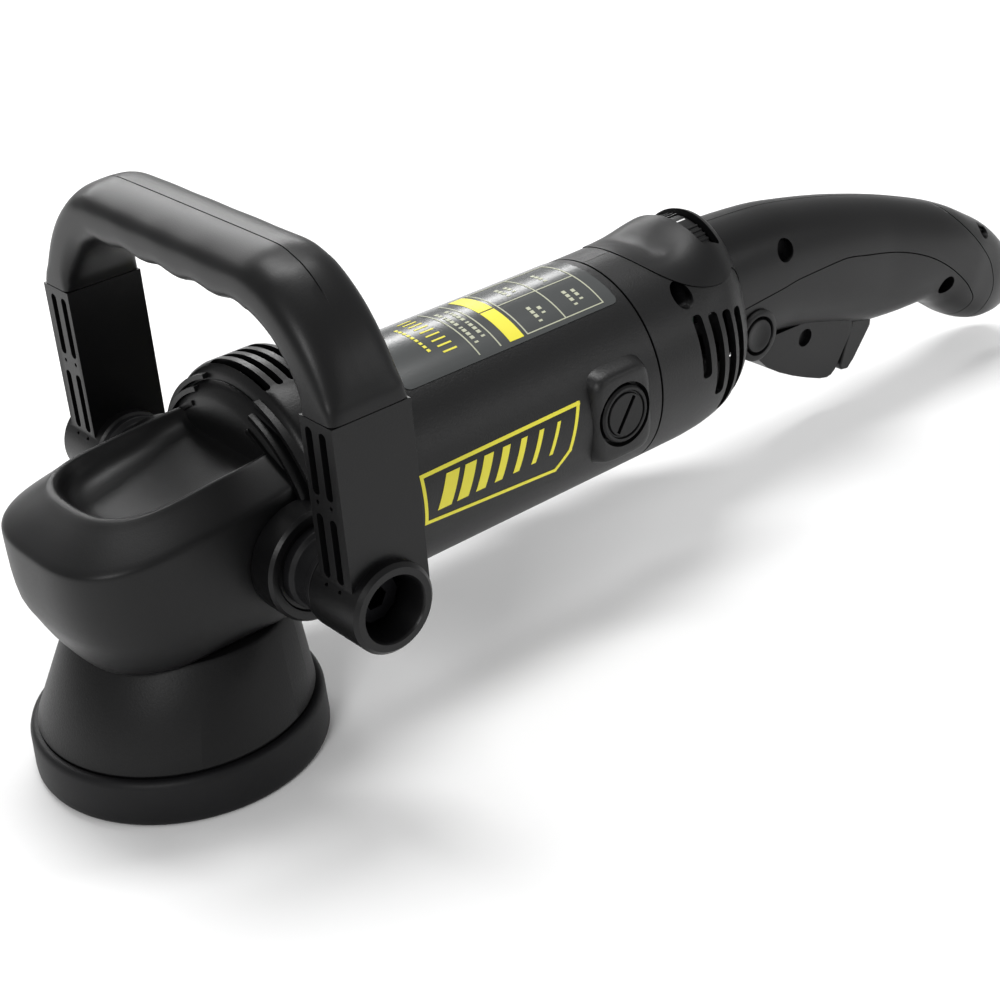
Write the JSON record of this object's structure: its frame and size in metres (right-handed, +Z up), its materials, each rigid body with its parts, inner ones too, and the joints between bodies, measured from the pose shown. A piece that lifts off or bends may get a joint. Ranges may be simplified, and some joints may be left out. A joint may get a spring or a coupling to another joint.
{
  "type": "dual-action polisher",
  "caption": "Hand-held electric polisher: coned shroud and round rubber ring at the head, tilting bail handle, barrel motor and a curved grip with trigger.",
  "frame": {"origin": "centre of the bounding box in plan, on the plane that the shroud's rubber ring rests on", "axes": "+X from the head towards the tail of the handle, along the motor; +Y to the operator's right when the tail points at the operator; +Z up, against the polished surface's normal"},
  "size_m": [0.469, 0.1664, 0.1704],
  "materials": {
    "black_shell": "satin, fine grain",
    "shroud_shell": "fine matt texture",
    "soft_cover": "matt",
    "bumper_rubber": "matt",
    "grip_rubber": "satin",
    "bail_plastic": "satin",
    "bolt_steel": "blackened",
    "label_film": "smooth film",
    "trigger_plastic": "semi-gloss",
    "dial_plastic": "satin",
    "brush_cap_plastic": "satin",
    "gland_rubber": "matt",
    "gear_case_metal": "as cast",
    "steel": "machined",
    "spring_steel": "drawn wire",
    "lamination": "varnished laminations",
    "copper": "enamelled copper wire and copper bars",
    "fan_plastic": "moulded",
    "brass": "drawn",
    "carbon": "pressed carbon",
    "switch_plastic": "moulded",
    "board": "potted circuit board"
  },
  "bodies": {
    "body": {"armature_bearing_front": "steel", "armature_bearing_rear": "steel", "bail_bolt_left": "bolt_steel", "bail_bolt_right": "bolt_steel", "bail_spacer_left": "bail_plastic", "bail_spacer_right": "bail_plastic", "bearing_retainer": "steel", "brush_cap_left": "brush_cap_plastic", "brush_cap_right": "brush_cap_plastic", "brush_holder_left": "brass", "brush_holder_right": "brass", "brush_spring_left": "spring_steel", "brush_spring_right": "spring_steel", "carbon_brush_left": "carbon", "carbon_brush_right": "carbon", "cord_gland": "gland_rubber", "cover_screw": "steel", "dial_saddle": "soft_cover", "end_cap": "black_shell", "field_coil_front": "copper", "field_coil_rear": "copper", "gear_case": "gear_case_metal", "grip_left": "grip_rubber", "grip_right": "grip_rubber", "handle_lower_left": "black_shell", "handle_lower_right": "black_shell", "handle_screw": "steel", "head_cover": "soft_cover", "lock_spring": "spring_steel", "motor_housing": "black_shell", "nose_housing": "black_shell", "rear_cover_left": "black_shell", "rear_cover_right": "black_shell", "shroud": "shroud_shell", "shroud_bumper": "bumper_rubber", "speed_module": "board", "spindle_bearing_lower": "steel", "spindle_bearing_upper": "steel", "stator_core": "lamination", "switch_body": "switch_plastic", "top_label": "label_film", "trigger_pin": "steel", "trigger_spring": "spring_steel"},
    "armature": {"armature_shaft": "steel", "armature_core": "lamination", "armature_winding": "copper", "commutator": "copper", "cooling_fan": "fan_plastic", "bevel_pinion": "steel"},
    "spindle": {"drive_spindle": "steel", "crown_gear": "steel", "counterweight": "steel", "pad_bearing": "steel"},
    "pad": {"pad_spindle": "steel"},
    "bail": {"bail_grip": "grip_rubber", "bail_leg_left": "bail_plastic", "bail_leg_right": "bail_plastic"},
    "trigger": {"trigger": "trigger_plastic"},
    "lock": {"lock_button": "trigger_plastic"},
    "dial": {"speed_dial": "dial_plastic"}
  },
  "joints": [
    {"name": "armature_spin", "type": "hinge", "parent": "body", "child": "armature", "pos_m": [-0.08725, 0, 0.0675], "axis": [1, 0, 0], "continuous": true},
    {"name": "spindle_spin", "type": "hinge", "parent": "body", "child": "spindle", "pos_m": [-0.18725, 0, 0.04], "axis": [0, 0, 1], "continuous": true},
    {"name": "pad_spin", "type": "hinge", "parent": "spindle", "child": "pad", "pos_m": [-0.18325, 0, 0.015], "axis": [0, 0, 1], "continuous": true},
    {"name": "bail_tilt", "type": "hinge", "parent": "body", "child": "bail", "pos_m": [-0.15665, 0, 0.0696], "axis": [0, 1, 0], "range_deg": [-25, 25]},
    {"name": "trigger_pull", "type": "hinge", "parent": "body", "child": "trigger", "pos_m": [0.13875, 0, 0.042], "axis": [0, 1, 0], "range_deg": [0, 8], "stiffness_Nm_per_rad": 0.1, "springref_deg": -20.05, "deforming": ["trigger_spring"]},
    {"name": "lock_press", "type": "slide", "parent": "body", "child": "lock", "axis": [0, 1, 0], "range_m": [0, 0.003], "stiffness_N_per_m": 300, "springref_m": -0.005, "deforming": ["lock_spring"]},
    {"name": "dial_turn", "type": "hinge", "parent": "body", "child": "dial", "pos_m": [0.04025, 0, 0.0882], "axis": [1, 0, 0], "range_deg": [-75, 75]}
  ],
  "couplings": [
    {"joint": "spindle_spin", "follows": "armature_spin", "ratio": 0.29032}
  ]
}
